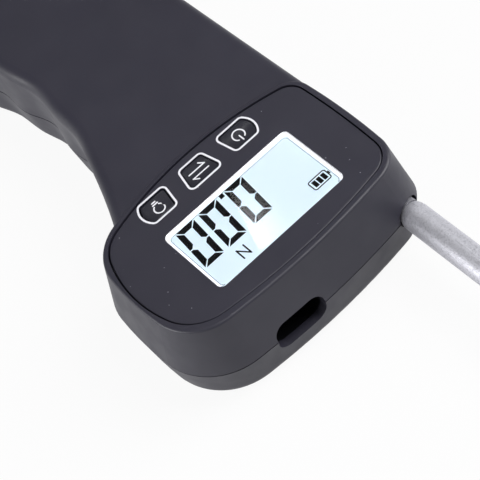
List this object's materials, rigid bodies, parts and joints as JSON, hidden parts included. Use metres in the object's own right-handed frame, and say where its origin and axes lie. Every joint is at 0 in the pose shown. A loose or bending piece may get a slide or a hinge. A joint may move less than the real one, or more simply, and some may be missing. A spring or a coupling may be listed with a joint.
{
  "type": "force gauge",
  "caption": "Hand-held digital force gauge with a contoured grip, a backlit display, push keys and a turning steel measuring arm that ends in a hook.",
  "frame": {"origin": "on the flat back face, under the middle of the head", "axes": "+Z out of the display, +Y from the grip to the arm end, +X to the right of someone who reads the display"},
  "size_m": [0.066, 0.2424, 0.0264],
  "materials": {
    "housing_plastic": "fine moulded grain",
    "plate_plastic": "smooth satin",
    "key_rubber": "smooth satin",
    "window_clear": "clear and polished",
    "frame_white": "printed white",
    "display_glass": "pale blue, backlit",
    "light_guide": "milky",
    "contact_rubber": "layered",
    "board_green": "solder mask",
    "chip_black": "moulded",
    "switch_body": "moulded",
    "plunger_plastic": "moulded",
    "arm_steel": "bead-blasted",
    "hook_steel": "polished",
    "screw_steel": "zinc plated",
    "cell_aluminium": "machined",
    "holder_aluminium": "machined",
    "bushing_bronze": "turned",
    "washer_nylon": "smooth",
    "gauge_film": "amber film",
    "battery_sleeve": "plain printed sleeve",
    "contact_nickel": "plated",
    "white_print": "printed line",
    "segment_ink": "printed segment"
  },
  "bodies": {
    "housing": {"front_housing": "housing_plastic", "rear_housing": "housing_plastic", "port_shroud": "housing_plastic", "face_plate": "plate_plastic", "display_window": "window_clear", "display_surround": "frame_white", "lcd_panel": "display_glass", "backlight": "light_guide", "contact_strips": "contact_rubber", "main_board": "board_green", "processor_chip": "chip_black", "amplifier_chip": "chip_black", "key_switches": "switch_body", "board_screws": "screw_steel", "case_screws": "screw_steel", "load_cell_screws": "screw_steel", "load_cell": "cell_aluminium", "arm_holder": "holder_aluminium", "arm_bushing": "bushing_bronze", "friction_washers": "washer_nylon", "strain_gauges": "gauge_film", "battery_cells": "battery_sleeve", "contact_plates": "contact_nickel", "contact_springs": "contact_nickel"},
    "arm": {"measuring_arm": "arm_steel", "hook": "hook_steel", "hook_lock_nut": "hook_steel", "retaining_ring": "screw_steel"},
    "power_button": {"power_key": "key_rubber", "power_plunger": "plunger_plastic"},
    "unit_button": {"unit_key": "key_rubber", "unit_plunger": "plunger_plastic"},
    "light_button": {"light_key": "key_rubber", "light_plunger": "plunger_plastic"},
    "battery_lid": {"battery_door": "housing_plastic"}
  },
  "joints": [
    {"name": "arm_swivel", "type": "hinge", "parent": "housing", "child": "arm", "pos_m": [-0.0254, 0.0058, 0.012], "axis": [0, 1, 0], "continuous": true},
    {"name": "power_press", "type": "slide", "parent": "housing", "child": "power_button", "axis": [0, 0, -1], "range_m": [0, 0.0004], "stiffness_N_per_m": 600, "springref_m": -0.0005},
    {"name": "unit_press", "type": "slide", "parent": "housing", "child": "unit_button", "axis": [0, 0, -1], "range_m": [0, 0.0004], "stiffness_N_per_m": 600, "springref_m": -0.0005},
    {"name": "light_press", "type": "slide", "parent": "housing", "child": "light_button", "axis": [0, 0, -1], "range_m": [0, 0.0004], "stiffness_N_per_m": 600, "springref_m": -0.0005},
    {"name": "battery_door_slide", "type": "slide", "parent": "housing", "child": "battery_lid", "axis": [0, -1, 0], "range_m": [0, 0.06]}
  ]
}
